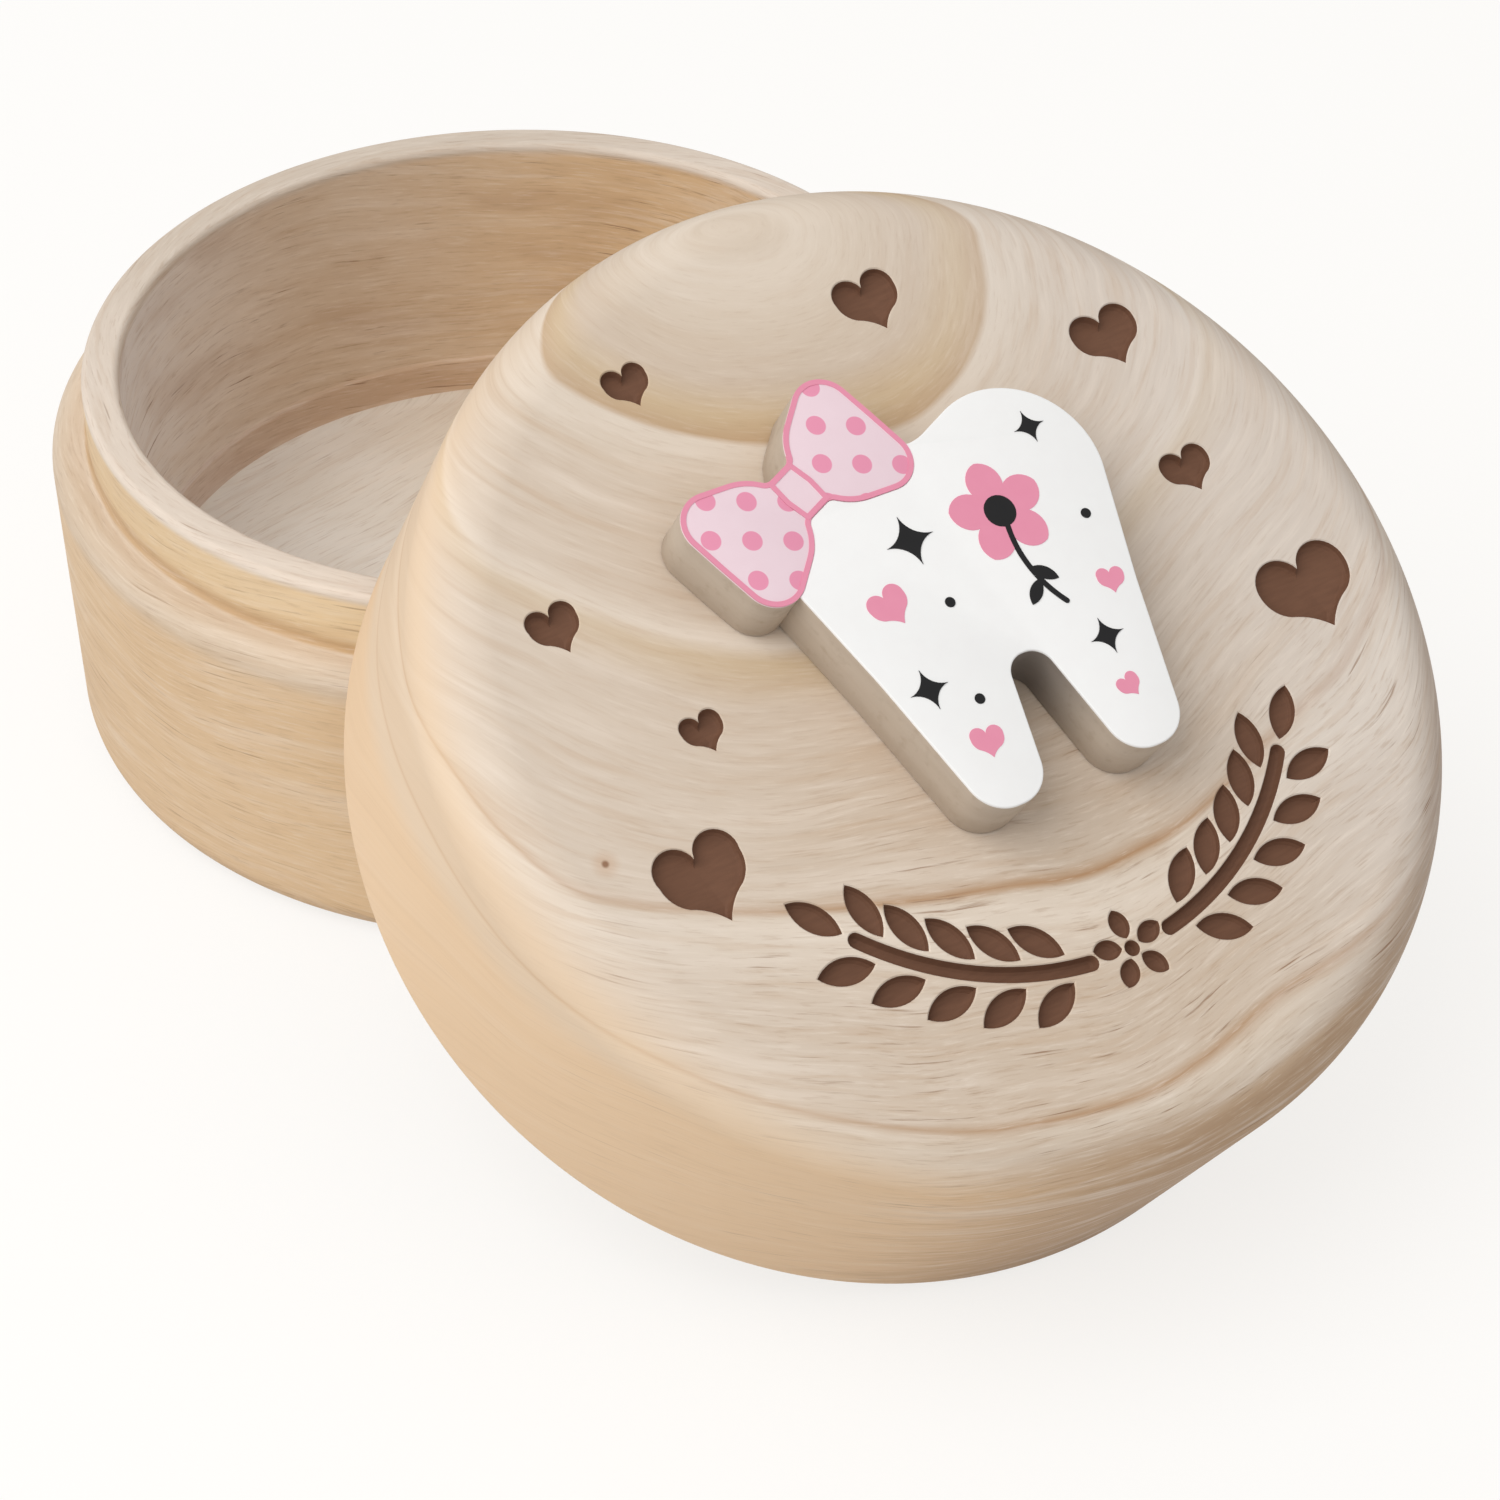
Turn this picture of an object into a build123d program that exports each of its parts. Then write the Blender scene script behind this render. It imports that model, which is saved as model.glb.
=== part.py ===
from build123d import *
import math
import os

# A turned wooden keepsake box for baby teeth, shown open.
# The cup stands on the floor. The lift-off lid leans on its rim: the lid's lower edge is on the
# floor, and the edge of its mouth lies on the rim at two points, one at each side.
# A flat board, cut as a molar with a ribbon bow, is glued to the lid's crown.
# Lengths are in millimetres. The origin is the middle of the cup's underside, and +Z is up.
# The lid leans out towards -Y, and +X is the right-hand side of the picture on its crown.

# Cup
body_radius = 30.0
foot_taper = 0.3
shoulder_width = 2.4
neck_wall = 2.4
shoulder_height = 20.9
neck_height = 4.5
floor_thickness = 4.9
heel_height = 3.1
heel_step = 0.25
foot_ease = 1.6
shoulder_ease = 0.9
rim_ease = 0.5
floor_ease = 0.8

# Lid, whose mouth fits over the cup's neck
lid_overhang = 0.2
lid_height = 21.5
crown_thickness = 7.5
crown_round = 4.0
lid_foot_ease = 1.0
mouth_clearance = 0.2
mouth_spare_depth = 0.3
mouth_ease = 0.5

# How the lid leans on the cup: how far up its mouth the cup's rim crosses it, as a share of the
# mouth's radius, and the gap that is left between the two
lean_share = 0.704
lean_gap = 0.25

# Engraved hearts in the crown
engraving_depth = 0.6
heart_tilt = 4.0

# Board with the molar and the bow, and the paint on its face
board_thickness = 3.6
glue_thickness = 0.1
glue_margin = 1.2
paint_thickness = 0.15
tooth_width = 21.4
tooth_height = 22.2
tooth_right = 0.85
tooth_foot = -10.0
bow_tilt = 22.6

# Radii and heights that follow from those sizes
foot_radius = body_radius - foot_taper
neck_radius = body_radius - shoulder_width
bore_radius = neck_radius - neck_wall
rim_height = shoulder_height + neck_height
lid_radius = body_radius + lid_overhang
mouth_radius = neck_radius + mouth_clearance
mouth_depth = neck_height + mouth_spare_depth
hollow_depth = lid_height - crown_thickness

# One overrun for every cut, and how near two places must be to count as the same one
overrun = 1.0
placing_error = 0.0001

# A heart is drawn on a width and a height of one: three arcs run down each side of it
heart_cleft_shares = (0, 0.25)
heart_lobe_shares = (0.25, 0.47)
heart_side_shares = (0.49, 0.13)
heart_hip_shares = (0.45, -0.06)
heart_waist_shares = (0.32, -0.215)
heart_flank_shares = (0.145, -0.335)
heart_tip_shares = (0, -0.52)

# Where each heart lies on the crown, right and up, and its width and height, in lid radii
heart_place_shares = [
    (0.188, 0.685, 0.137, 0.121),
    (0.609, 0.457, 0.152, 0.122),
    (0.614, 0.155, 0.114, 0.092),
    (0.715, -0.147, 0.215, 0.167),
    (-0.341, 0.687, 0.093, 0.085),
    (-0.692, 0.309, 0.101, 0.095),
    (-0.535, 0.037, 0.085, 0.077),
    (-0.664, -0.205, 0.172, 0.163),
]

# Corners of the molar's right half from its crown down: right as a share of its width, up as a
# share of its height, and the corner's radius as a share of its width
tooth_corner_shares = [
    (0.000, 0.922, 0.160),
    (0.616, 1.172, 0.248),
    (0.400, 0.405, 0.900),
    (0.304, 0.000, 0.103),
    (0.124, 0.000, 0.100),
    (0.053, 0.339, 0.060),
]

# The bow's length as a share of the molar's width, its height as a share of its length, and its
# knot's place, right and up from the molar's foot, as shares of the molar's width and height
bow_length_share = 0.680
bow_height_share = 0.584
bow_place_shares = (-0.337, 0.919)

# Corners of the bow's upper right quarter from its knot out: along its length, across its
# height, and the corner's radius as a share of its length
bow_corner_shares = [
    (0.066, 0.175, 0.040),
    (0.118, 0.308, 0.238),
    (0.467, 0.575, 0.127),
    (0.470, 0.000, 0.500),
]


def revolved(corners):
    """The solid that these corners, as radius and height, sweep round the vertical axis."""
    outline = Polyline(*[(radius, 0, height) for radius, height in corners], close=True)
    return revolve(make_face(outline), Axis.Z)


def turned_edge(solid, radius, height):
    """The solid's circular edge of that radius and height."""
    rings = solid.edges().filter_by(GeomType.CIRCLE)
    return [
        ring
        for ring in rings
        if abs(ring.radius - radius) < placing_error
        and abs(ring.arc_center.Z - height) < placing_error
    ]


def make_cup():
    """The turned cup: a body, a shoulder, a neck for the lid and a bore with a low heel."""
    heel_radius = bore_radius - heel_step
    heel_top = floor_thickness + heel_height
    cup = revolved(
        [
            (0, 0),
            (foot_radius, 0),
            (body_radius, shoulder_height),
            (neck_radius, shoulder_height),
            (neck_radius, rim_height),
            (bore_radius, rim_height),
            (bore_radius, heel_top),
            (heel_radius, heel_top - heel_step),
            (heel_radius, floor_thickness),
            (0, floor_thickness),
        ]
    )
    cup = chamfer(turned_edge(cup, foot_radius, 0), foot_ease)
    cup = chamfer(turned_edge(cup, body_radius, shoulder_height), shoulder_ease)
    cup = chamfer(turned_edge(cup, neck_radius, rim_height), rim_ease)
    cup = chamfer(turned_edge(cup, bore_radius, rim_height), rim_ease)
    return chamfer(turned_edge(cup, heel_radius, floor_thickness), floor_ease)


def make_lid_turning():
    """The turned lid, upright with its mouth at height zero, before it is engraved."""
    lid = revolved(
        [
            (mouth_radius, 0),
            (lid_radius, 0),
            (lid_radius, lid_height),
            (0, lid_height),
            (0, hollow_depth),
            (bore_radius, hollow_depth),
            (bore_radius, mouth_depth),
            (mouth_radius, mouth_depth),
        ]
    )
    lid = fillet(turned_edge(lid, lid_radius, lid_height), crown_round)
    lid = chamfer(turned_edge(lid, lid_radius, 0), lid_foot_ease)
    return chamfer(turned_edge(lid, mouth_radius, 0), mouth_ease)


def heart(width, height):
    """A heart of that width and height, its tip down."""

    def half(side):
        cleft, lobe, widest, hip, waist, flank, tip = [
            (side * x * width, y * height)
            for x, y in [
                heart_cleft_shares,
                heart_lobe_shares,
                heart_side_shares,
                heart_hip_shares,
                heart_waist_shares,
                heart_flank_shares,
                heart_tip_shares,
            ]
        ]
        upper = ThreePointArc(cleft, lobe, widest) + ThreePointArc(widest, hip, waist)
        return upper + ThreePointArc(waist, flank, tip)

    return Rot(0, 0, heart_tilt) * make_face(half(1).edges() + half(-1).edges())


def engrave(lid):
    """The turned lid with the hearts cut into its crown."""
    pocket_floor = lid_height - engraving_depth
    for shares in heart_place_shares:
        right, up, width, height = [share * lid_radius for share in shares]
        lid -= extrude(Pos(right, up, pocket_floor) * heart(width, height), engraving_depth + overrun)
    return lid


def mirrored_outline(corners):
    """A rounded outline from its right half, whose first corner alone lies on the middle line."""
    left = [(-x, y, radius) for x, y, radius in reversed(corners) if x > 0]
    points = [(x, y) for x, y, radius in corners + left]
    radii = [radius for x, y, radius in corners + left]
    return make_face(FilletPolyline(*points, radius=radii, close=True))


def tooth_outline():
    """The molar's outline: a crown with two cusps, and two roots with a notch between them."""
    corners = [
        (x * tooth_width, y * tooth_height, radius * tooth_width)
        for x, y, radius in tooth_corner_shares
    ]
    return Pos(tooth_right, tooth_foot) * mirrored_outline(corners)


def bow_outline():
    """The bow's outline: two flared loops that meet in a knot."""
    bow_length = bow_length_share * tooth_width
    bow_height = bow_height_share * bow_length
    bow_right = tooth_right + bow_place_shares[0] * tooth_width
    bow_up = tooth_foot + bow_place_shares[1] * tooth_height
    quarter = [
        (x * bow_length, y * bow_height, radius * bow_length)
        for x, y, radius in bow_corner_shares
    ]
    lower = [(x, -y, radius) for x, y, radius in reversed(quarter) if y > 0]
    right = quarter + lower
    left = [(-x, y, radius) for x, y, radius in reversed(right)]
    points = [(x, y) for x, y, radius in right + left]
    radii = [radius for x, y, radius in right + left]
    bow = make_face(FilletPolyline(*points, radius=radii, close=True))
    return Pos(bow_right, bow_up) * Rot(0, 0, bow_tilt) * bow


# The lid's place while it leans: how far its mouth is tilted, and its middle's height.
lean_sine = (rim_height - rim_ease) / (lean_share * mouth_radius + lid_radius - lid_foot_ease)
lean_tilt = math.degrees(math.asin(lean_sine))
lean_cosine = math.sqrt(1 - lean_sine**2)
lean_rise = (lid_radius - lid_foot_ease) * lean_sine


def rim_to_mouth(reach):
    """The least gap between the cup's rim and the edge of the lid's mouth, at that reach.

    Both eased edges are taken as round ones, which lie just outside their chamfers.
    """
    ring_radius = neck_radius - rim_ease
    above_mouth = rim_height - rim_ease - lean_rise
    gaps = []
    for degree in range(180):
        turn = math.radians(degree)
        out = reach - ring_radius * math.cos(turn)
        across = ring_radius * math.sin(turn)
        along = out * lean_cosine + above_mouth * lean_sine
        depth = above_mouth * lean_cosine - out * lean_sine
        beside = max(mouth_radius + mouth_ease - math.hypot(across, along), 0)
        below = max(mouth_ease - depth, 0)
        gaps.append(math.hypot(beside, below) - mouth_ease - rim_ease)
    return min(gaps)


def lean_reach():
    """How far out the lid's middle lies when its mouth is the lean's gap away from the rim."""
    near = 0
    far = neck_radius + lid_radius
    while far - near > placing_error:
        middle = (near + far) / 2
        if rim_to_mouth(middle) < lean_gap:
            near = middle
        else:
            far = middle
    return far


cup = make_cup()
lid = engrave(make_lid_turning())

tooth = tooth_outline()
bow = bow_outline()
board_outline = tooth + bow
tooth_face = (tooth - bow).faces().sort_by(SortBy.AREA)[-1]
board_base = lid_height + glue_thickness
board_top = board_base + board_thickness
glue = extrude(Pos(0, 0, lid_height) * offset(tooth, -glue_margin), glue_thickness)
board = extrude(Pos(0, 0, board_base) * board_outline, board_thickness)
tooth_paint = extrude(Pos(0, 0, board_top) * tooth_face, paint_thickness)
bow_paint = extrude(Pos(0, 0, board_top) * bow, paint_thickness)

reach = lean_reach()
lean = Pos(0, -reach, lean_rise) * Rot(lean_tilt, 0, 0)

os.makedirs("parts", exist_ok=True)
export_step(cup, "parts/cup.step")
export_step(lean * lid, "parts/lid.step")
export_step(lean * glue, "parts/glue_film.step")
export_step(lean * board, "parts/tooth_board.step")
export_step(lean * tooth_paint, "parts/tooth_paint.step")
export_step(lean * bow_paint, "parts/bow_paint.step")
print("lid tilted", round(lean_tilt, 2), "middle", round(reach, 3), "out,", round(lean_rise, 3), "up")
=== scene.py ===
import math

import bmesh
import bpy
from mathutils import Matrix, Vector
from mathutils.geometry import intersect_line_line_2d


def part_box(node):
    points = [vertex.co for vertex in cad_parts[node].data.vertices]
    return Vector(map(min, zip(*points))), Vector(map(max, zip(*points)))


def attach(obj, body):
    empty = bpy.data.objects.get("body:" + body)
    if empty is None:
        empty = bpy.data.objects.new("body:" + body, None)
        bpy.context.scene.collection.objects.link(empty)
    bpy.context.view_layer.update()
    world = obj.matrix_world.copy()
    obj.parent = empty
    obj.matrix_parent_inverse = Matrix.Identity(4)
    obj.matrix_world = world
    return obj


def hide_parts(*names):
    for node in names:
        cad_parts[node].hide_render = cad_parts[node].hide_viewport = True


# The looks of a turned wooden keepsake box: its cup stands, and its lid leans on the cup's rim.
# Lengths are in metres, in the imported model's frame. The materials are described in millimetres,
# and those of the lid's pieces in the lid's own upright frame, with its mouth at height zero.
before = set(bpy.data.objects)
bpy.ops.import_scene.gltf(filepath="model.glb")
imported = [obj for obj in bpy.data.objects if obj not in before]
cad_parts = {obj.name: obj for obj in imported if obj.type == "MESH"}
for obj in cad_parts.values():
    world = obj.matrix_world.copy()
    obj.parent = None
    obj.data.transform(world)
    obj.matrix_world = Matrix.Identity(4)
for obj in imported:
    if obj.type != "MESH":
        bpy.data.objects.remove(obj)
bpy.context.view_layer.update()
MM = 0.001

# Cup
BODY_RADIUS = 30.0 * MM
FOOT_RADIUS = 29.7 * MM
NECK_RADIUS = 27.6 * MM
BORE_RADIUS = 25.2 * MM
SHOULDER_HEIGHT = 20.9 * MM
RIM_HEIGHT = 25.4 * MM
FLOOR_HEIGHT = 4.9 * MM
HEEL_TOP = 8.0 * MM
HEEL_STEP = 0.25 * MM
FOOT_ROUND = 2.2 * MM
SHOULDER_ROUND = 1.3 * MM
NECK_ROUND = 0.5 * MM
RIM_ROUND = 0.5 * MM
FLOOR_ROUND = 1.0 * MM
HEEL_ROUND = 0.2 * MM

# Lid
LID_RADIUS = 30.2 * MM
LID_HEIGHT = 21.5 * MM
CROWN_ROUND = 4.0 * MM
LID_FOOT_EASE = 1.0 * MM
LID_FOOT_ROUND = 1.38 * MM
MOUTH_RADIUS = 27.8 * MM
MOUTH_DEPTH = 4.8 * MM
MOUTH_ROUND = 0.6 * MM
HOLLOW_DEPTH = 14.0 * MM
HOLLOW_ROUND = 1.0 * MM
LEAN_TILT = math.radians(30.7)

# Engraving: its depth, and how far in from its sides its floor still curves up. Each level of a
# cut has how far it is drawn in and how deep it lies, in shares of the two.
ENGRAVING_DEPTH = 0.6 * MM
ENGRAVING_BOWL = 0.55 * MM
PIT_SHARES = [(-0.13, 0.0), (0.0, 0.12), (0.14, 0.62), (0.38, 0.88), (0.72, 1.0)]

# Board with the molar and the bow, its paint, and the inks printed on the paint
BOARD_THICKNESS = 3.6 * MM
BOARD_EASE = 0.05 * MM
GLUE_THICKNESS = 0.1 * MM
PAINT_THICKNESS = 0.15 * MM
PAINT_EASE = 0.1 * MM
INK_THICKNESS = 0.03 * MM
INK_STEP = 0.001 * MM
BOARD_BASE = LID_HEIGHT + GLUE_THICKNESS
BOARD_TOP = BOARD_BASE + BOARD_THICKNESS
PAINT_TOP = BOARD_TOP + PAINT_THICKNESS
INK_BASE = PAINT_TOP - INK_THICKNESS
TOOTH_WIDTH = 21.4 * MM
TOOTH_HEIGHT = 22.2 * MM
TOOTH_RIGHT = 0.85 * MM
TOOTH_FOOT = -10.0 * MM
BOW_TILT = math.radians(22.6)
BOW_LENGTH_SHARE = 0.680
BOW_HEIGHT_SHARE = 0.584
BOW_PLACE_SHARES = (-0.337, 0.919)
BOW_LENGTH = BOW_LENGTH_SHARE * TOOTH_WIDTH
BOW_HEIGHT = BOW_HEIGHT_SHARE * BOW_LENGTH
BOW_RIGHT = TOOTH_RIGHT + BOW_PLACE_SHARES[0] * TOOTH_WIDTH
BOW_UP = TOOTH_FOOT + BOW_PLACE_SHARES[1] * TOOTH_HEIGHT

# Corners as right, up and radius, in shares of the outline's own width, height and width
TOOTH_CORNER_SHARES = [
    (0.000, 0.922, 0.160),
    (0.616, 1.172, 0.248),
    (0.400, 0.405, 0.900),
    (0.304, 0.000, 0.103),
    (0.124, 0.000, 0.100),
    (0.053, 0.339, 0.060),
]
BOW_CORNER_SHARES = [
    (0.066, 0.175, 0.040),
    (0.118, 0.308, 0.238),
    (0.467, 0.575, 0.127),
    (0.470, 0.000, 0.500),
]

# Knot of the bow's ribbon, between the two loops, and how far its coat and its line rise, in
# thicknesses of the ink
KNOT_HALF_WIDTH = 0.98 * MM
KNOT_BULGE = 0.16 * MM
KNOT_HALF_HEIGHT = 1.45 * MM
KNOT_RISE = 0.5
KNOT_LINE_RISE = 1.5
BOW_LINE = 0.30 * MM

# Print on the molar: a flower on a stem, with hearts, sparkles and dots strewn round it. A heart
# has its place, width and tilt, a sparkle its place and reach, and a dot its place, in millimetres
# and degrees. The black ink rises a little more than the pink.
FLOWER_PLACE = Vector((3.9, 5.3)) * MM
FLOWER_PETALS = 5
FLOWER_PETAL_LENGTH = 2.5 * MM
FLOWER_PETAL_WIDTH = 2.15 * MM
FLOWER_EYE = 0.95 * MM
FLOWER_PETAL_START = 0.55 * FLOWER_EYE
BLACK_RISE = 1.5
STEM_MIDDLE = Vector((10.4, 2.9)) * MM
STEM_RADIUS = 6.7 * MM
STEM_START = math.radians(166)
STEM_END = math.radians(213)
STEM_HALF_WIDTH = 0.16 * MM
STEM_LEAVES = [(math.radians(197), math.radians(225)), (math.radians(190), math.radians(318))]
STEM_LEAF_LENGTH = 1.7 * MM
STEM_LEAF_WIDTH = 0.75 * MM
PRINT_HEARTS = [
    (-4.9, 2.6, 2.5, 14),
    (7.9, -0.6, 1.7, -12),
    (-3.7, -6.2, 2.0, -10),
    (5.6, -6.4, 1.5, 16),
]
PRINT_HEART_SHARE = 0.9
PRINT_SPARKLES = [
    (-1.9, 5.6, 1.5),
    (-5.3, -2.4, 1.2),
    (5.9, -3.4, 1.1),
    (8.2, 9.2, 1.0),
]
SPARKLE_WAIST = 0.32
PRINT_DOTS = [(-1.6, 1.6), (8.6, 3.4), (-2.9, -3.9)]
PRINT_DOT_RADIUS = 0.3 * MM

# A heart's right side on a width and a height of one, from its cleft to its tip, and where each
# one is cut: right, up, width and height, in lid radii
HEART_SHARES = [
    (0, 0.25),
    (0.25, 0.47),
    (0.49, 0.13),
    (0.45, -0.06),
    (0.32, -0.215),
    (0.145, -0.335),
    (0, -0.52),
]
HEART_TILT = math.radians(4)
HEART_PLACE_SHARES = [
    (0.188, 0.685, 0.137, 0.121),
    (0.609, 0.457, 0.152, 0.122),
    (0.614, 0.155, 0.114, 0.092),
    (0.715, -0.147, 0.215, 0.167),
    (-0.341, 0.687, 0.093, 0.085),
    (-0.692, 0.309, 0.101, 0.095),
    (-0.535, 0.037, 0.085, 0.077),
    (-0.664, -0.205, 0.172, 0.163),
]

# Garland of two leafy twigs and a flower, cut round the lower half of the crown
GARLAND_RADIUS = 18.8 * MM
TWIG_START = math.radians(8)
TWIG_END = math.radians(49)
TWIG_HALF_WIDTH = 0.45 * MM
DOWN = math.radians(-90)
LEAF_PAIRS = 5
LEAF_LENGTH = 3.4 * MM
LEAF_WIDTH = 1.55 * MM
LEAF_LEAN = math.radians(36)
LEAF_GAP = 0.35 * MM
PETALS = 5
PETAL_REACH = 1.45 * MM
PETAL_LENGTH = 1.7 * MM
PETAL_WIDTH = 1.15 * MM
EYE_RADIUS = 0.45 * MM

# How finely curves are drawn, and the angle from which an edge is shaded as a sharp one
SWEEP_STEPS = 256
ARC_STEP = math.radians(4)
HEART_STEPS = (16, 8, 8)
LEAF_STEPS = 14
STROKE_STEPS = 24
STROKE_END_STEPS = 8
SPARKLE_STEPS = 10
DOT_STEPS = 24
EASE_STEPS = 4
SHARP_ANGLE = math.radians(24)

# How much faster a leaf's tips draw in than its sides, the least share of a step that a corner's
# bisector counts for, and how far ahead the next crossing of two outlines has to be
LEAF_TIP_INSET = 1.5
LEAST_BISECTOR = 0.35
CROSSING_MARGIN = MM / 10000

# Where the lean puts the lid: its box's far side is its foot's eased edge
lid_far_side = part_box("lid")[1].y
lean_sine = math.sin(LEAN_TILT)
lean_cosine = math.cos(LEAN_TILT)
lean_rise = (LID_RADIUS - LID_FOOT_EASE) * lean_sine
lean_reach = LID_RADIUS * lean_cosine - LID_FOOT_EASE * lean_sine - lid_far_side
LEAN_PLACE = Vector((0, -lean_reach, lean_rise))
LEAN = Matrix.Translation(LEAN_PLACE) @ Matrix.Rotation(LEAN_TILT, 4, "X")


def colour(red, green, blue):
    """A linear colour from its three sRGB bytes."""

    def linear(byte):
        share = byte / 255
        return share / 12.92 if share <= 0.04045 else ((share + 0.055) / 1.055) ** 2.4

    return (linear(red), linear(green), linear(blue), 1)


class Nodes:
    """A node tree in the making. Its methods add nodes and give back what they put out."""

    def __init__(self, owner):
        owner.use_nodes = True
        self.tree = owner.node_tree

    def feed(self, socket, value):
        if isinstance(value, bpy.types.NodeSocket):
            self.tree.links.new(value, socket)
        else:
            socket.default_value = value

    def add(self, kind, inputs, output=0, **settings):
        node = self.tree.nodes.new("ShaderNode" + kind)
        for key, value in settings.items():
            setattr(node, key, value)
        for key, value in inputs.items():
            self.feed(node.inputs[key], value)
        return node.outputs[output]

    def math(self, operation, *values):
        return self.add("Math", dict(enumerate(values)), operation=operation)

    def vector_math(self, operation, *values, output="Vector"):
        return self.add("VectorMath", dict(enumerate(values)), output, operation=operation)


class Paint(Nodes):
    """A material in the making, of that roughness and specular level."""

    def __init__(self, name, roughness, specular):
        self.material = bpy.data.materials.new(name)
        super().__init__(self.material)
        self.shader = self.tree.nodes["Principled BSDF"]
        self.shader.inputs["Roughness"].default_value = roughness
        self.shader.inputs["Specular IOR Level"].default_value = specular

    def times(self, value, *others):
        """The product of the values."""
        for other in others:
            value = self.math("MULTIPLY", value, other)
        return value

    def squares(self, x, y):
        """The sum of both squares."""
        return self.math("ADD", self.math("POWER", x, 2.0), self.math("POWER", y, 2.0))

    def spot(self, leaning):
        """The place on the piece in millimetres, in the lid's own frame where it leans."""
        place = self.add("TexCoord", {}, output="Object")
        inputs = {"Vector": place, "Scale": (MM, MM, MM)}
        if leaning:
            inputs["Location"] = LEAN_PLACE
            inputs["Rotation"] = (LEAN_TILT, 0, 0)
        return self.add("Mapping", inputs, vector_type="TEXTURE")

    def parts(self, vector):
        return self.add("SeparateXYZ", {0: vector}).node.outputs

    def joined(self, x, y, z=0.0):
        return self.add("CombineXYZ", {"X": x, "Y": y, "Z": z})

    def turned(self, vector, angle):
        """The vector turned about the upright axis."""
        return self.add("VectorRotate", {"Vector": vector, "Angle": angle}, rotation_type="Z_AXIS")

    def noise(self, vector, scale, detail, rough=0.5, output="Fac"):
        inputs = {"Vector": vector, "Scale": scale, "Detail": detail, "Roughness": rough}
        return self.add("TexNoise", inputs, output)

    def reach(self, value, low, high, to_low=0.0, to_high=1.0):
        """The value taken smoothly from one range to another, and held outside it."""
        inputs = {"Value": value, 1: low, 2: high, 3: to_low, 4: to_high}
        return self.add("MapRange", inputs, interpolation_type="SMOOTHSTEP")

    def blend(self, share, first, second):
        """The first colour with that share of the second over it."""
        return self.add("Mix", {0: share, 6: first, 7: second}, output=2, data_type="RGBA")

    def between(self, value, low, high, first, second):
        """The first tone where the value is low, and the second where it is high."""
        return self.blend(self.reach(value, low, high), colour(*first), colour(*second))

    def layered(self, tint, *layers):
        """The tint with layers over it, each as a value, where it starts, where it is full, its
        full share and its tone."""
        for value, start, full, share, tone in layers:
            tint = self.blend(self.reach(value, start, full, 0.0, share), tint, colour(*tone))
        return tint

    def ramp(self, value, stops):
        ramped = self.add("ValToRGB", {0: value})
        elements = ramped.node.color_ramp.elements
        elements[0].position, elements[0].color = stops[0]
        elements[1].position, elements[1].color = stops[-1]
        for position, tint in stops[1:-1]:
            elements.new(position).color = tint
        return ramped

    def bump(self, height, depth, strength):
        inputs = {"Height": height, "Distance": depth, "Strength": strength}
        self.feed(self.shader.inputs["Normal"], self.add("Bump", inputs))

    def finished(self, tint):
        """The material, in that tint."""
        self.feed(self.shader.inputs["Base Color"], tint)
        return self.material


# Roughness and specular level of each kind of surface, and how deep the bumps are
TURNED_WOOD = (0.62, 0.25)
BORED_WOOD = (0.66, 0.2)
RAW_WOOD = (0.7, 0.2)
COAT = (0.42, 0.4)
BLACK_INK = (0.55, 0.4)
GLUE = (0.35, 0.5)
BUMP_DEPTH = 0.03 * MM
COAT_BUMP_DEPTH = 0.004 * MM

# The two waves that sway the grain, each with its fineness and its size as a share of the sway
SWAY_WAVES = [(0.055, 1.6), (0.22, 0.09)]

# The grain's noises: how many changes a millimetre each has across the grain, how long it is
# drawn out along it, and its detail
GRAIN_ROUGHNESS = 0.6
GRAIN_NOISES = {
    "bands": (0.5, 26.0, 3.0),
    "streaks": (1.6, 11.0, 4.0),
    "fibres": (5.5, 2.6, 5.0),
    "marks": (4.2, 7.0, 3.0),
}

# The grain's layers: the noise, where it starts and is full, its full share, which of the two
# strengths it takes, and its tone
GRAIN_LAYERS = [
    ("bands", 0.50, 0.75, 0.30, "broad", (237, 223, 208)),
    ("bands", 0.48, 0.28, 0.24, "broad", (194, 162, 128)),
    ("streaks", 0.51, 0.66, 0.17, "broad", (240, 227, 214)),
    ("streaks", 0.49, 0.34, 0.20, "broad", (188, 154, 120)),
    ("fibres", 0.54, 0.66, 0.22, "fine", (242, 230, 216)),
    ("fibres", 0.46, 0.34, 0.30, "fine", (170, 138, 108)),
]

# Thin dark marks in the grain: where their noise starts and is full, and their clusters, with the
# least and the greatest share
MARK_SPAN = (0.60, 0.72)
CLUSTER_FINENESS = 0.16
CLUSTER_SPAN = (0.40, 0.58, 0.2, 0.8)
MARK_TONE = (146, 110, 82)
FIBRE_HEIGHT = 0.4


def swayed(paint, spot, sway):
    """The place moved by a slow wave and a small quick one, so that no grain line is straight."""
    for fineness, share in SWAY_WAVES:
        wave = paint.noise(spot, fineness, detail=1.0, output="Color")
        wave = paint.vector_math("SUBTRACT", wave, (0.5, 0.5, 0.5))
        wave = paint.vector_math("MULTIPLY", wave, [share * length for length in sway])
        spot = paint.vector_math("ADD", spot, wave)
    return spot


def grain_noise(paint, across, along, fineness, length, detail):
    """A noise with so many changes a millimetre across the grain, drawn out to that length."""
    place = paint.joined(paint.times(across, fineness), paint.times(along, 1 / length))
    return paint.noise(place, 1.0, detail, GRAIN_ROUGHNESS)


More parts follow.
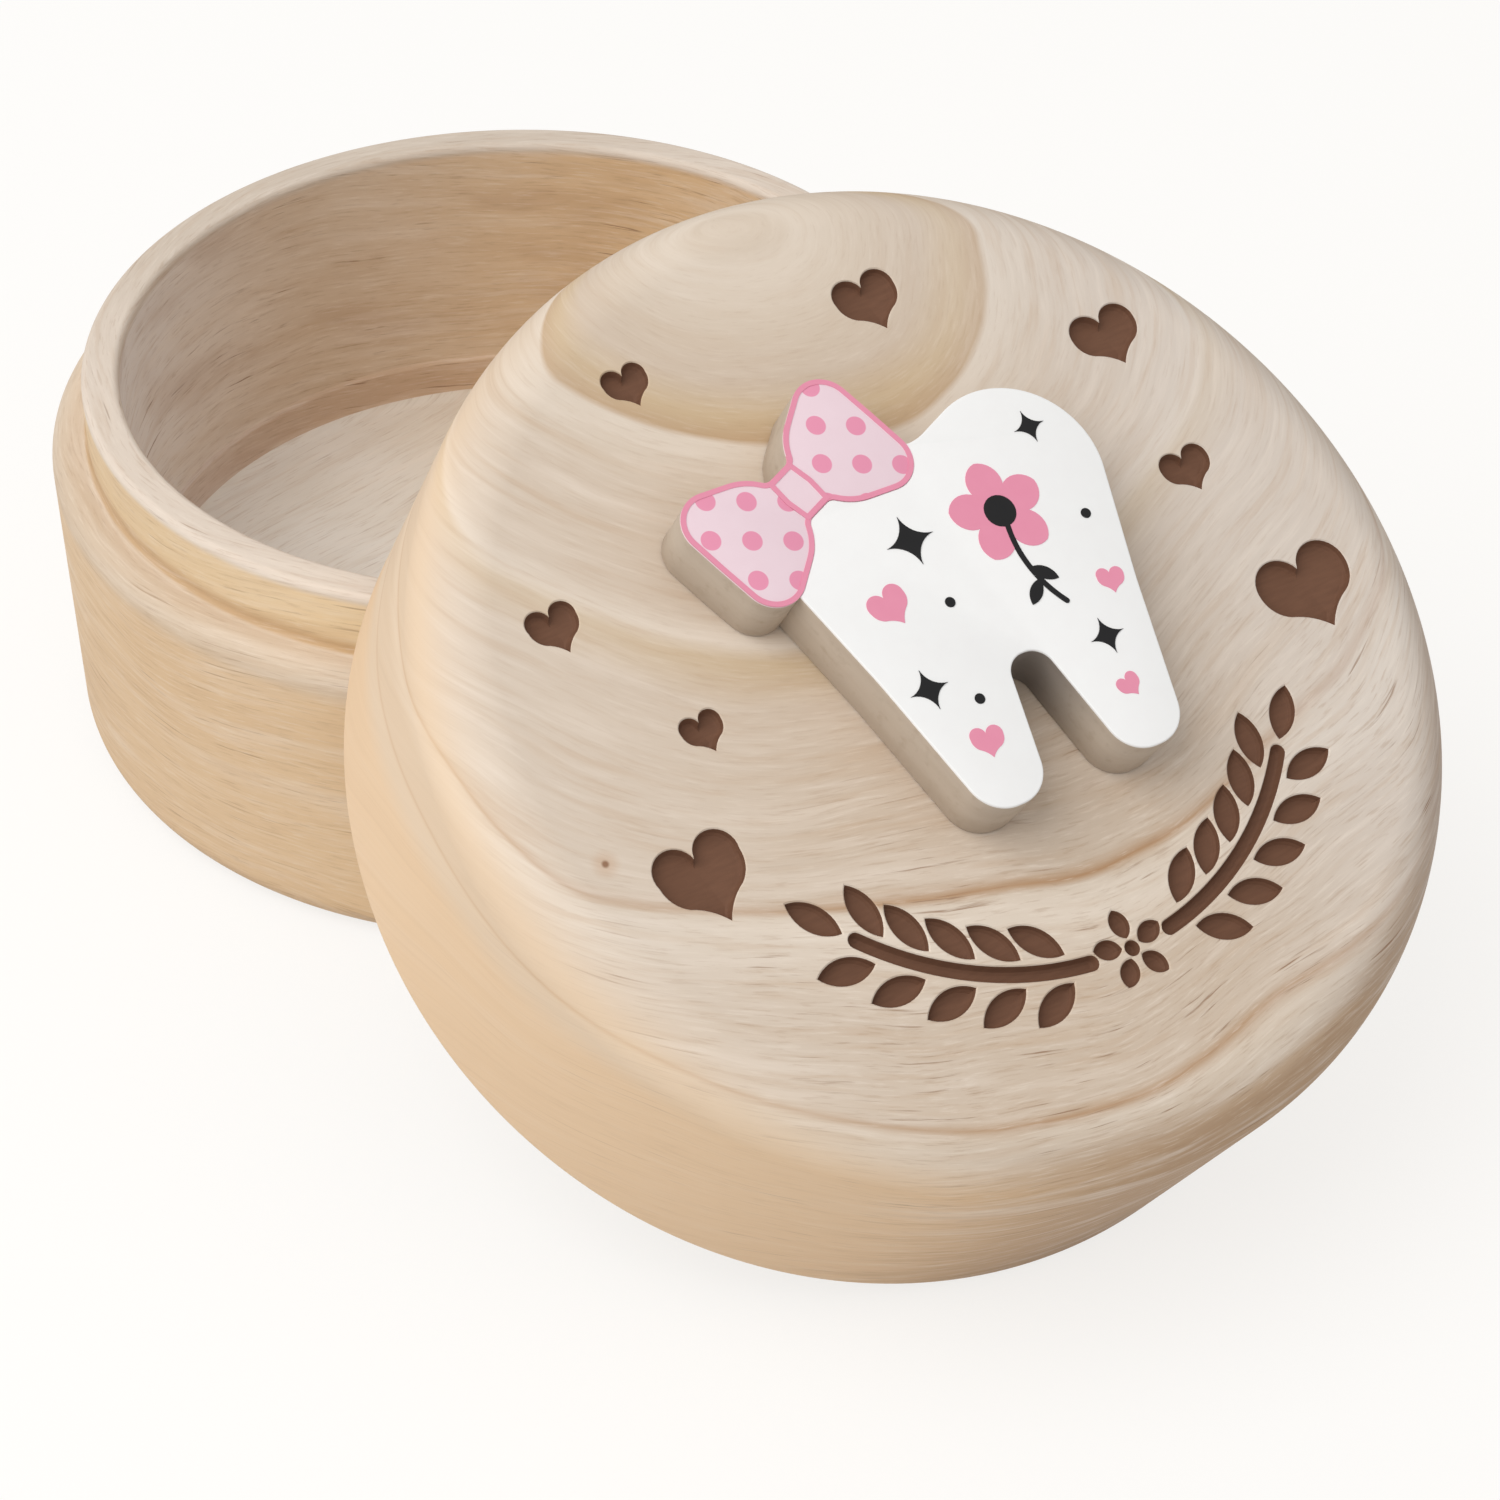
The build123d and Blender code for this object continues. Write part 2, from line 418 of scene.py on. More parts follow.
def wood_grain(paint, tint, across, along, spot, broad, fine, marked):
    """The tint with bands and streaks, fibres, and thin dark marks, all drawn out along the grain.

    The last three say how strong the bands and streaks, the fibres, and the marks are.
    """
    noises = {name: grain_noise(paint, across, along, *how) for name, how in GRAIN_NOISES.items()}
    strengths = {"broad": broad, "fine": fine}
    for name, start, full, share, strength, tone in GRAIN_LAYERS:
        seen = paint.times(paint.reach(noises[name], start, full, 0.0, share), strengths[strength])
        tint = paint.blend(seen, tint, colour(*tone))
    many = paint.reach(paint.noise(spot, CLUSTER_FINENESS, detail=2.0), *CLUSTER_SPAN)
    marks = paint.times(paint.reach(noises["marks"], *MARK_SPAN), many, marked)
    height = paint.math("SUBTRACT", paint.times(noises["fibres"], FIBRE_HEIGHT), marks)
    paint.bump(height, BUMP_DEPTH, strength=0.6)
    return paint.blend(marks, tint, colour(*MARK_TONE))


# Tones of the lid's wood, and where each one lies from the rings' middle out
PALE = (222, 207, 190)
CREAM = (213, 196, 177)
BEIGE = (205, 186, 166)
HONEY = (202, 177, 143)
TAN = (190, 160, 126)
AMBER = (176, 136, 98)
PEACH = (223, 189, 151)
RING_SPAN = 100.0
RING_STOPS = [
    (0.0, PALE),
    (3.2, CREAM),
    (4.4, PALE),
    (8.0, CREAM),
    (12.0, BEIGE),
    (14.2, HONEY),
    (15.7, TAN),
    (15.85, PALE),
    (18.0, CREAM),
    (21.0, BEIGE),
    (26.0, BEIGE),
    (27.3, PALE),
    (28.2, HONEY),
    (30.5, BEIGE),
    (42.0, BEIGE),
    (42.6, AMBER),
    (42.9, CREAM),
    (44.0, PALE),
    (48.0, BEIGE),
    (54.2, BEIGE),
    (54.8, AMBER),
    (55.2, CREAM),
    (58.0, CREAM),
    (63.5, PEACH),
]

# How the rings lie: their middle, to the right and up, how far they move on for each millimetre
# down the side, the share of that which the grain follows, how long the grain's marks are at the
# middle, how its lines round off down the back, and its sway
RING_RIGHT = 0.5
RING_UP = 29.0
RING_DIP = 2.2
GRAIN_DIP_SHARE = 0.4
GRAIN_LENGTH_START = 6.0
BACK_ROUNDING = (21.4, 15.0, 0.0, 40.0)
LID_SWAY = (3.4, 2.6, 0.0)

# Stretches of the lid: the line along which each one lies, where it starts and is full, and how
# strong it is at both ends. The line "low right" runs down and to the right on the crown.
LOW_RIGHT = (0.5, -0.87)
LID_STRETCHES = {
    "crown": ("z", 17.5, 21.3, 0.0, 1.0),
    "crown face": ("z", 19.8, 21.4, 0.0, 1.0),
    "side": ("z", 21.5, 19.0, 0.0, 1.0),
    "edge and side": ("z", 21.5, 20.4, 0.0, 1.0),
    "left": ("x", -6.0, -26.0, 0.0, 1.0),
    "front": ("x", -22.0, -4.0, 0.0, 1.0),
    "grey right": ("x", 2.0, 22.0, 0.0, 0.6),
    "grey shade": ("x", 8.0, 24.0, 0.0, 1.0),
    "shaded": ("low right", 13.5, 26.0, 0.0, 0.8),
    "broad out of the middle": ("ring", 12.0, 20.0, 0.4, 1.0),
    "fine out of the middle": ("ring", 2.0, 9.0, 0.5, 1.0),
    "fine to the left": ("x", -8.0, -27.0, 1.0, 0.7),
    "fine to the front": ("y", 4.0, -14.0, 0.45, 1.0),
    "marked to the front": ("y", 2.0, -14.0, 0.25, 1.0),
}
CROWN_GREY = (219, 209, 200)
# The crown's cream and the side's peach, laid on to the left, are painted light where the lamp
# falls
CROWN_LIT_CREAM = (221, 206, 190)
SIDE_LIT_PEACH = (235, 205, 170)
# Painted shade on the crown's rounding towards the lower right, which faces away from the lamp
PAINTED_SHADE_BROWN = (170, 138, 108)
PAINTED_SHADE_GREY = (184, 164, 148)
CROWN_LIT_CREAM_SHARE = 0.5
SIDE_LIT_PEACH_SHARE = 0.6
LEFT_SIDE_BROAD = 0.25
LEFT_SIDE_FINE = 0.5
FRONT_SIDE_BROAD = 1.8

# The one pin knot in the crown's wood, and its two layers: how far out each starts and is full,
# its full share and its tone
PIN_KNOT = (-24.7, -3.4, 21.5)
PIN_KNOT_LAYERS = [
    (1.0, 0.2, 0.35, (190, 146, 106)),
    (0.28, 0.10, 0.8, (128, 84, 52)),
]


def lid_wood():
    """Pale wood whose rings run round a place at the top of the crown, and on down the side."""
    paint = Paint("lid_wood", *TURNED_WOOD)
    spot = paint.spot(leaning=True)
    x, y, z = paint.parts(swayed(paint, spot, LID_SWAY))
    right = paint.math("SUBTRACT", x, RING_RIGHT)
    down = paint.math("SUBTRACT", RING_UP, y)
    squares = paint.math("ADD", paint.squares(right, down), paint.reach(z, *BACK_ROUNDING))
    ring = paint.math("POWER", squares, 0.5)
    dip = paint.times(paint.math("SUBTRACT", LID_HEIGHT / MM, z), RING_DIP)
    across = paint.math("ADD", ring, paint.times(dip, GRAIN_DIP_SHARE))
    turn = paint.math("ARCTAN2", right, down)
    along = paint.times(turn, paint.math("ADD", ring, GRAIN_LENGTH_START))
    place = paint.math("DIVIDE", paint.math("ADD", ring, dip), RING_SPAN)
    tint = paint.ramp(place, [(stop / RING_SPAN, colour(*tone)) for stop, tone in RING_STOPS])

    x, y, z = paint.parts(spot)
    low_right = paint.math("ADD", paint.times(x, LOW_RIGHT[0]), paint.times(y, LOW_RIGHT[1]))
    lines = {"x": x, "y": y, "z": z, "ring": ring, "low right": low_right}
    at = {name: paint.reach(lines[line], *ends) for name, (line, *ends) in LID_STRETCHES.items()}
    left_side = paint.times(at["left"], at["side"])
    front_side = paint.times(at["front"], at["side"])
    painted_shade = paint.blend(at["grey shade"], colour(*PAINTED_SHADE_BROWN), colour(*PAINTED_SHADE_GREY))
    for share, tone in (
        (paint.times(at["grey right"], at["crown face"]), colour(*CROWN_GREY)),
        # Painted light: the crown paler and the side peach on the left, towards the lamp
        (paint.times(at["left"], CROWN_LIT_CREAM_SHARE, at["crown"]), colour(*CROWN_LIT_CREAM)),
        (paint.times(at["left"], SIDE_LIT_PEACH_SHARE, at["side"]), colour(*SIDE_LIT_PEACH)),
        # Painted shade on the lower right rounding of the crown
        (paint.times(at["shaded"], at["edge and side"]), painted_shade),
    ):
        tint = paint.blend(share, tint, tone)

    broad = paint.times(
        at["broad out of the middle"],
        paint.reach(left_side, 0.0, 1.0, 1.0, LEFT_SIDE_BROAD),
        paint.reach(front_side, 0.0, 1.0, 1.0, FRONT_SIDE_BROAD),
    )
    fine = paint.times(
        at["fine to the left"],
        paint.reach(left_side, 0.0, 1.0, 1.0, LEFT_SIDE_FINE),
        at["fine to the front"],
        at["fine out of the middle"],
    )
    marked = paint.times(fine, at["marked to the front"])
    tint = wood_grain(paint, tint, across, along, spot, broad, fine, marked)
    away = paint.vector_math("DISTANCE", spot, PIN_KNOT, output="Value")
    return paint.finished(paint.layered(tint, *[(away, *layer) for layer in PIN_KNOT_LAYERS]))


# The cup's grain: its sway, how far it climbs on its way round, and its turn on the floor. Then
# the levels of the cup, in millimetres, that its tones keep to.
CUP_SWAY = (2.2, 2.2, 0.9)
CUP_CLIMB = 0.06
CUP_FLOOR_TURN = math.radians(-14)
SHOULDER = SHOULDER_HEIGHT / MM
RIM = RIM_HEIGHT / MM
HEEL = HEEL_TOP / MM


def cup_grain(paint, outward):
    """The place, and where it lies across the cup's grain and along it.

    The grain runs round the outside (1) or the bore (-1), and one way across the floor (0).
    """
    spot = paint.spot(leaning=False)
    x, y, z = paint.parts(swayed(paint, spot, CUP_SWAY))
    if not outward:
        along, across, _ = paint.parts(paint.turned(paint.joined(x, y), CUP_FLOOR_TURN))
        return spot, across, along
    radius = paint.times(paint.math("POWER", paint.squares(x, y), 0.5), -outward)
    along = paint.times(paint.math("ARCTAN2", x, y), BODY_RADIUS / MM)
    level = paint.math("ADD", z, paint.times(along, CUP_CLIMB))
    return spot, paint.math("ADD", level, radius), along


def with_rim(paint, tint, y, z):
    """The tint with the pale rim over it, which is a little darker at the back."""
    rim = paint.between(y, 8.0, 26.0, (219, 204, 189), (205, 190, 174))
    return paint.blend(paint.reach(z, RIM - 0.9, RIM - 0.3), tint, rim)


def cup_side():
    """The cup's outside: golden on its body and neck, and paler on its rim and on its ledge, where
    the pale is a painted highlight. Its left side and the neck's foot have painted shade.
    """
    paint = Paint("cup_side", *TURNED_WOOD)
    spot, across, along = cup_grain(paint, 1)
    x, y, z = paint.parts(spot)
    clouds = paint.noise(spot, 0.05, detail=2.0)
    tint = paint.layered(
        paint.between(clouds, 0.35, 0.65, (243, 208, 163), (237, 200, 153)),
        (z, 2.6, 0.4, 0.6, (208, 166, 118)),
        # Painted highlight: pale on the shoulder's rounding and its ledge
        (z, SHOULDER - 2.7, SHOULDER - 0.5, 0.85, (221, 207, 190)),
        # Painted shade in the corner at the neck's foot
        (z, SHOULDER, SHOULDER + 0.2, 1.0, (205, 167, 119)),
        (z, SHOULDER + 0.3, SHOULDER + 1.5, 1.0, (248, 218, 171)),
        # Painted shade: the cup's left side darker, where the lamp lights it most
        (x, -14.0, -29.0, 0.5, (188, 164, 138)),
    )
    tint = with_rim(paint, tint, y, z)
    tint = wood_grain(paint, tint, across, along, spot, broad=0.8, fine=0.8, marked=0.6)
    return paint.finished(tint)


def cup_inside():
    """The bore's wall, greyer and paler on its left in painted cool light, warmer on its right,
    with a pale rim.
    """
    paint = Paint("cup_inside", *BORED_WOOD)
    spot, across, along = cup_grain(paint, -1)
    x, y, z = paint.parts(spot)
    place = paint.joined(paint.times(across, 0.22), paint.times(along, 0.07))
    clouds = paint.noise(place, 1.0, detail=3.0)
    tint = paint.layered(
        # Painted light: the wall paler and greyer on the left, as in the room's cool light
        paint.between(x, -24.0, 0.0, (240, 234, 230), (210, 187, 162)),
        (x, -2.0, 24.0, 1.0, (217, 184, 143)),
        (clouds, 0.5, 0.7, 0.28, (172, 134, 100)),
        (clouds, 0.5, 0.3, 0.25, (226, 206, 184)),
        (z, HEEL + 0.1, HEEL - 0.1, 0.3, (186, 144, 116)),
    )
    tint = with_rim(paint, tint, y, z)
    tint = wood_grain(paint, tint, across, along, spot, broad=0.9, fine=0.9, marked=1.1)
    return paint.finished(tint)


def cup_floor():
    """The bore's floor, pale and end-grained, its marks short and lying one way."""
    paint = Paint("cup_floor", *RAW_WOOD)
    spot, across, along = cup_grain(paint, 0)
    x, _, _ = paint.parts(spot)
    clouds = paint.noise(spot, 0.07, detail=2.0)
    tint = paint.layered(
        paint.between(clouds, 0.35, 0.65, (238, 232, 224), (230, 221, 209)),
        (x, -6.0, 10.0, 0.5, (214, 198, 176)),
    )
    tint = wood_grain(paint, tint, across, along, spot, broad=0.8, fine=0.8, marked=0.45)
    return paint.finished(tint)


def burnt_wood():
    """The brown of the engraving, a little streaked by the grain below."""
    paint = Paint("burnt_wood", *RAW_WOOD)
    x, y, _ = paint.parts(paint.spot(leaning=True))
    streaks = paint.noise(paint.joined(paint.times(x, 0.7), paint.times(y, 4.0)), 1.0, detail=3.0)
    paint.bump(streaks, BUMP_DEPTH, strength=0.5)
    return paint.finished(paint.blend(streaks, colour(102, 71, 54), colour(121, 85, 65)))


# The notch's top, round which the board's edge has its darkest painted shade, and how fine the
# board's layers are along it and through it
NOTCH_SHADE_MIDDLE = (0.85, -3.2, 0.0)
LAYER_FINENESS = (0.12, 1.3)


def board_wood():
    """The sawn edge of the board: greyish tan, with painted shade towards its foot and in the
    notch.
    """
    paint = Paint("board_wood", *RAW_WOOD)
    spot = paint.spot(leaning=True)
    x, y, z = paint.parts(spot)
    along = paint.times(paint.math("ADD", x, y), LAYER_FINENESS[0])
    layers = paint.noise(paint.joined(along, paint.times(z, LAYER_FINENESS[1])), 1.0, detail=2.0)
    specks = paint.noise(spot, 1.6, detail=3.0)
    from_notch = paint.vector_math("DISTANCE", paint.joined(x, y), NOTCH_SHADE_MIDDLE, output="Value")
    paint.bump(specks, BUMP_DEPTH, strength=0.4)
    return paint.finished(paint.layered(
        paint.blend(layers, colour(184, 168, 150), colour(196, 182, 166)),
        (specks, 0.5, 0.8, 0.3, (156, 136, 114)),
        # Painted shade towards the board's foot on the crown, and in the notch
        (z, 23.6, 21.6, 0.4, (148, 128, 108)),
        (from_notch, 5.5, 0.5, 0.75, (94, 88, 86)),
    ))


# The bow's dots: their spacing, their radius, how wide their edge blurs to each side, how the
# rows lie, where one dot is, and the dots to shift by, so that no place on the bow is below zero
DOT_PITCH = 2.3
DOT_RADIUS = 0.57
DOT_BLUR = 0.02
DOT_TURN = math.radians(-21)
DOT_START = (-4.3, 11.4, 0)
DOT_SHIFT = 64.5
DOT_TONE = (230, 146, 173)


def bow_dots(paint, spot):
    """One inside the bow's dots and zero outside. They lie in even rows that both loops share."""
    place = paint.turned(paint.vector_math("SUBTRACT", spot, DOT_START), -DOT_TURN)
    place = paint.vector_math("DIVIDE", place, (DOT_PITCH,) * 3)
    place = paint.vector_math("ADD", place, (DOT_SHIFT, DOT_SHIFT, 0))
    place = paint.vector_math("SUBTRACT", paint.vector_math("FRACTION", place), (0.5, 0.5, 0))
    place = paint.vector_math("MULTIPLY", place, (DOT_PITCH, DOT_PITCH, 0))
    away = paint.vector_math("LENGTH", place, output="Value")
    return paint.reach(away, DOT_RADIUS + DOT_BLUR, DOT_RADIUS - DOT_BLUR)


def coat(name, first, second, finish=COAT, dotted=False):
    """A smooth printed coat, with a faint mottle in its colour and in its surface."""
    paint = Paint(name, *finish)
    spot = paint.spot(leaning=True)
    tint = paint.blend(paint.noise(spot, 0.9, detail=3.0), colour(*first), colour(*second))
    if dotted:
        tint = paint.blend(bow_dots(paint, spot), tint, colour(*DOT_TONE))
    paint.bump(paint.noise(spot, 5.0, detail=2.0), COAT_BUMP_DEPTH, strength=0.5)
    return paint.finished(tint)


def dried_glue():
    """Dried wood glue, pale and a little uneven."""
    paint = Paint("dried_glue", *GLUE)
    clouds = paint.noise(paint.spot(leaning=True), 0.8, detail=3.0)
    paint.bump(clouds, BUMP_DEPTH, strength=0.6)
    return paint.finished(paint.blend(clouds, colour(214, 200, 172), colour(232, 222, 200)))


MATERIALS = {
    "lid_wood": lid_wood(),
    "burnt_wood": burnt_wood(),
    "cup_side": cup_side(),
    "cup_inside": cup_inside(),
    "cup_floor": cup_floor(),
    "board_wood": board_wood(),
    "white_coat": coat("white_coat", (240, 238, 236), (243, 242, 240)),
    "dotted_pink": coat("dotted_pink", (232, 206, 213), (235, 211, 218), dotted=True),
    "pale_pink": coat("pale_pink", (233, 206, 213), (236, 211, 218)),
    "rose_ink": coat("rose_ink", (227, 140, 165), (231, 147, 171)),
    "black_ink": coat("black_ink", (9, 8, 9), (18, 16, 17), finish=BLACK_INK),
    "dried_glue": dried_glue(),
}


def heading(turn):
    """The unit vector in that heading."""
    return Vector((math.cos(turn), math.sin(turn)))


def rounded(corners):
    """A closed outline from its corners, as x, y and radius, with tangent arcs for the radii."""
    points = []
    for index, (x, y, radius) in enumerate(corners):
        corner = Vector((x, y))
        if not radius:
            points.append(corner)
            continue
        before = Vector(corners[index - 1][:2])
        after = Vector(corners[(index + 1) % len(corners)][:2])
        back = (before - corner).normalized()
        ahead = (after - corner).normalized()
        half = back.angle(ahead) / 2
        middle = corner + (back + ahead).normalized() * radius / math.sin(half)
        spoke = corner + back * radius / math.tan(half) - middle
        turn = math.copysign(math.pi - 2 * half, ahead.cross(back))
        steps = max(2, math.ceil(abs(turn) / ARC_STEP))
        for step in range(steps + 1):
            points.append(middle + Matrix.Rotation(turn * step / steps, 2) @ spoke)
    return points


def arc(start, middle, end, steps):
    """Points on the circle through three points, from the first to just before the last."""
    ax, ay = start
    bx, by = middle
    cx, cy = end
    twice = 2 * (ax * (by - cy) + bx * (cy - ay) + cx * (ay - by))
    a2, b2, c2 = ax * ax + ay * ay, bx * bx + by * by, cx * cx + cy * cy
    centre = Vector((
        (a2 * (by - cy) + b2 * (cy - ay) + c2 * (ay - by)) / twice,
        (a2 * (cx - bx) + b2 * (ax - cx) + c2 * (bx - ax)) / twice,
    ))
    spoke = Vector(start) - centre
    first = math.atan2(spoke.y, spoke.x)
    last = math.atan2(cy - centre.y, cx - centre.x)
    turn = (last - first) % (2 * math.pi)
    if twice < 0:
        turn -= 2 * math.pi
    return [centre + Matrix.Rotation(turn * step / steps, 2) @ spoke for step in range(steps)]


def pulled_in(outline, inset):
    """The outline moved in by that much along each corner's own bisector."""
    moved = []
    for index, point in enumerate(outline):
        back = (outline[index - 1] - point).normalized()
        ahead = (outline[(index + 1) % len(outline)] - point).normalized()
        inward = Vector((-ahead.y, ahead.x))
        side = (inward + Vector((back.y, -back.x))).normalized()
        moved.append(point + side * inset / max(LEAST_BISECTOR, side.dot(inward)))
    return moved


def walked(first, second):
    """The outline that follows first from its lowest point, and second where they cross."""
    lowest = min(range(len(first)), key=lambda index: first[index].y)
    first = first[lowest:] + first[:lowest]
    outlines = [first, second]
    which, index, here = 0, 0, first[0]
    path = []
    while True:
        path.append(here)
        now, other = outlines[which], outlines[1 - which]
        target = now[(index + 1) % len(now)]
        found = None
        for place, point in enumerate(other):
            hit = intersect_line_line_2d(here, target, point, other[(place + 1) % len(other)])
            ahead = hit and (hit - here).length > CROSSING_MARGIN
            if ahead and (found is None or (hit - here).length < (found[1] - here).length):
                found = (place, hit)
        if found:
            which, index, here = 1 - which, found[0], found[1]
        else:
            index = (index + 1) % len(now)
            here = target
            if which == 0 and index == 0:
                return path


def both_sides(corners):
    """The corners of an outline's right half, and then those of its left."""
    return corners + [(-x, y, radius) for x, y, radius in reversed(corners) if x > 0]


def tooth_outline():
    """The molar's outline, in its place on the crown."""
    corners = [
        (x * TOOTH_WIDTH, y * TOOTH_HEIGHT, radius * TOOTH_WIDTH)
        for x, y, radius in TOOTH_CORNER_SHARES
    ]
    place = Vector((TOOTH_RIGHT, TOOTH_FOOT))
    return [point + place for point in reversed(rounded(both_sides(corners)))]


def in_bow(corners):
    """The closed outline with those corners in its right half, turned and placed as the bow is."""
    turn = Matrix.Rotation(BOW_TILT, 2)
    place = Vector((BOW_RIGHT, BOW_UP))
    return [turn @ point + place for point in reversed(rounded(both_sides(corners)))]


def bow_outline():
    """The bow's outline: two flared loops."""
    quarter = [
        (x * BOW_LENGTH, y * BOW_HEIGHT, radius * BOW_LENGTH) for x, y, radius in BOW_CORNER_SHARES
    ]
    return in_bow(quarter + [(x, -y, radius) for x, y, radius in reversed(quarter) if y > 0])


def knot_outline():
    """The ribbon's knot between the loops."""
    return in_bow([
        (KNOT_HALF_WIDTH, KNOT_HALF_HEIGHT, 0),
        (KNOT_HALF_WIDTH + KNOT_BULGE, 0, KNOT_HALF_HEIGHT),
        (KNOT_HALF_WIDTH, -KNOT_HALF_HEIGHT, 0),
    ])


# Each form below gives its outline, as a function of how far it is drawn in, and its half width


def heart(right, up, width, height, tilt=HEART_TILT):
    """A heart with its tip down."""
    turn = Matrix.Rotation(tilt, 2)

    def outline(inset):
        points = []
        for side in (1, -1):
            marks = [Vector((side * x * width, y * height)) for x, y in HEART_SHARES]
            half = []
            for index, steps in enumerate(HEART_STEPS):
                half += arc(*marks[2 * index:2 * index + 3], steps)
            if side < 0:
                half = half[1:] + [marks[-1]]
                half.reverse()
            points += half
        return [Vector((right, up)) + turn @ p * (1 - inset / p.length) for p in reversed(points)]

    return outline, width / 4


def leaf(place, direction, length, width):
    """A pointed leaf from its stalk's place, in that direction."""

    def outline(inset):
        long_half = length / 2 - inset * LEAF_TIP_INSET
        wide_half = width / 2 - inset
        upper = arc((long_half, 0), (0, wide_half), (-long_half, 0), LEAF_STEPS)
        lower = arc((-long_half, 0), (0, -wide_half), (long_half, 0), LEAF_STEPS)
        turn = Matrix.Rotation(direction, 2)
        middle = place + turn @ Vector((length / 2, 0))
        return [middle + turn @ p for p in upper + lower]

    return outline, width / 2


def stroke(middle, radius, start, end, half_width):
    """A stroke with round ends along an arc, from one heading to a greater one."""

    def outline(inset):
        half = half_width - inset
        points = []
        for first, last, side in ((start, end, 1), (end, start, -1)):
            for step in range(STROKE_STEPS + 1):
                turn = first + (last - first) * step / STROKE_STEPS
                points.append(middle + heading(turn) * (radius + side * half))
            spoke = heading(last)
            onward = Vector((-spoke.y, spoke.x)) * side
            for step in range(1, STROKE_END_STEPS):
                turn = math.pi * step / STROKE_END_STEPS
                point = spoke * side * math.cos(turn) + onward * math.sin(turn)
                points.append(middle + spoke * radius + point * half)
        return points

    return outline, half_width


def sparkle(place, radius):
    """A star of four points, with hollow sides."""

    def outline(inset):
        waist = radius * SPARKLE_WAIST
        points = []
        for quarter in range(4):
            turn = Matrix.Rotation(math.radians(90) * quarter, 2)
            side = arc((radius, 0), (waist, waist), (0, radius), SPARKLE_STEPS)
            points += [place + turn @ point * (1 - inset / radius) for point in side]
        return points

    return outline, radius


def dot(place, radius):
    """A round dot."""

    def outline(inset):
        turns = [2 * math.pi * step / DOT_STEPS for step in range(DOT_STEPS)]
        return [place + heading(turn) * (radius - inset) for turn in turns]

    return outline, radius


def flower(middle, count, start, length, width):
    """The petals of a flower, each a leaf that starts that far from its middle."""
    turns = [math.pi / 2 + 2 * math.pi * petal / count for petal in range(count)]
    return [leaf(middle + heading(turn) * start, turn, length, width) for turn in turns]


def garland():
    """Every cut of the garland: a flower in the middle, and a twig with its leaves to each side."""
    middle = Vector((0, -GARLAND_RADIUS))
    petal_start = PETAL_REACH - PETAL_LENGTH / 2
    cuts = [dot(middle, EYE_RADIUS)]
    cuts += flower(middle, PETALS, petal_start, PETAL_LENGTH, PETAL_WIDTH)
    beside = TWIG_HALF_WIDTH + LEAF_GAP
    for side in (1, -1):
        ends = sorted((DOWN + side * TWIG_START, DOWN + side * TWIG_END))
        cuts.append(stroke(Vector((0, 0)), GARLAND_RADIUS, *ends, TWIG_HALF_WIDTH))
        leaves = []
        for pair in range(LEAF_PAIRS):
            turn = TWIG_START + (TWIG_END - TWIG_START) * (pair + 0.5) / LEAF_PAIRS
            leaves += [(turn, 1), (turn, -1)]
        leaves.append((TWIG_END + beside / GARLAND_RADIUS, 0))
        for turn, out in leaves:
            spoke = Vector((side * math.sin(turn), -math.cos(turn)))
            along = math.atan2(math.sin(turn), side * math.cos(turn))
            stalk = spoke * (GARLAND_RADIUS + out * beside)
            cuts.append(leaf(stalk, along - out * side * LEAF_LEAN, LEAF_LENGTH, LEAF_WIDTH))
    return cuts


def pink_forms():
    """The print's rose-coloured forms: the flower's petals and the hearts."""
    forms = flower(
        FLOWER_PLACE, FLOWER_PETALS, FLOWER_PETAL_START, FLOWER_PETAL_LENGTH, FLOWER_PETAL_WIDTH
    )
    for right, up, width, tilt in PRINT_HEARTS:
        width *= MM
        height = width * PRINT_HEART_SHARE
        forms.append(heart(right * MM, up * MM, width, height, math.radians(tilt)))
    return forms


def black_forms():
    """The print's black forms: the flower's eye and stem, the sparkles and the dots."""
    forms = [dot(FLOWER_PLACE, FLOWER_EYE)]
    forms.append(stroke(STEM_MIDDLE, STEM_RADIUS, STEM_START, STEM_END, STEM_HALF_WIDTH))
    for turn, direction in STEM_LEAVES:
        place = STEM_MIDDLE + heading(turn) * STEM_RADIUS
        forms.append(leaf(place, direction, STEM_LEAF_LENGTH, STEM_LEAF_WIDTH))
    forms += [sparkle(Vector((x, y)) * MM, radius * MM) for x, y, radius in PRINT_SPARKLES]
    forms += [dot(Vector(place) * MM, PRINT_DOT_RADIUS) for place in PRINT_DOTS]
    return forms


def shown(mesh, name, body, materials, node=None):
    """The bmesh as a smooth piece that rides on a body, and stands for a node where one is named.

    The pieces of the lid are made upright, and put in its leaning place here.
    """
    bmesh.ops.recalc_face_normals(mesh, faces=mesh.faces)
    for face in mesh.faces:
        face.smooth = True
    for edge in mesh.edges:
        edge.smooth = len(edge.link_faces) == 2 and edge.calc_face_angle() < SHARP_ANGLE
    if body == "lid":
        bmesh.ops.transform(mesh, matrix=LEAN, verts=mesh.verts)
    piece = placed(mesh, name, [MATERIALS[material] for material in materials])
    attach(piece, body)
    if node:
        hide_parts(node)


def placed(mesh, name, materials):
    """The bmesh as an object in the scene, with those materials."""
    data = bpy.data.meshes.new(name)
    mesh.to_mesh(data)
    mesh.free()
    for material in materials:
        data.materials.append(material)
    return linked(name, data)


def linked(name, data):
    """An object of that name and data in the scene."""
    made = bpy.data.objects.new(name, data)
    bpy.context.scene.collection.objects.link(made)
    return made


def level_ring(mesh, outline, height):
    """A closed ring of vertices over an outline, at that height."""
    return [mesh.verts.new((x, y, height)) for x, y in outline]


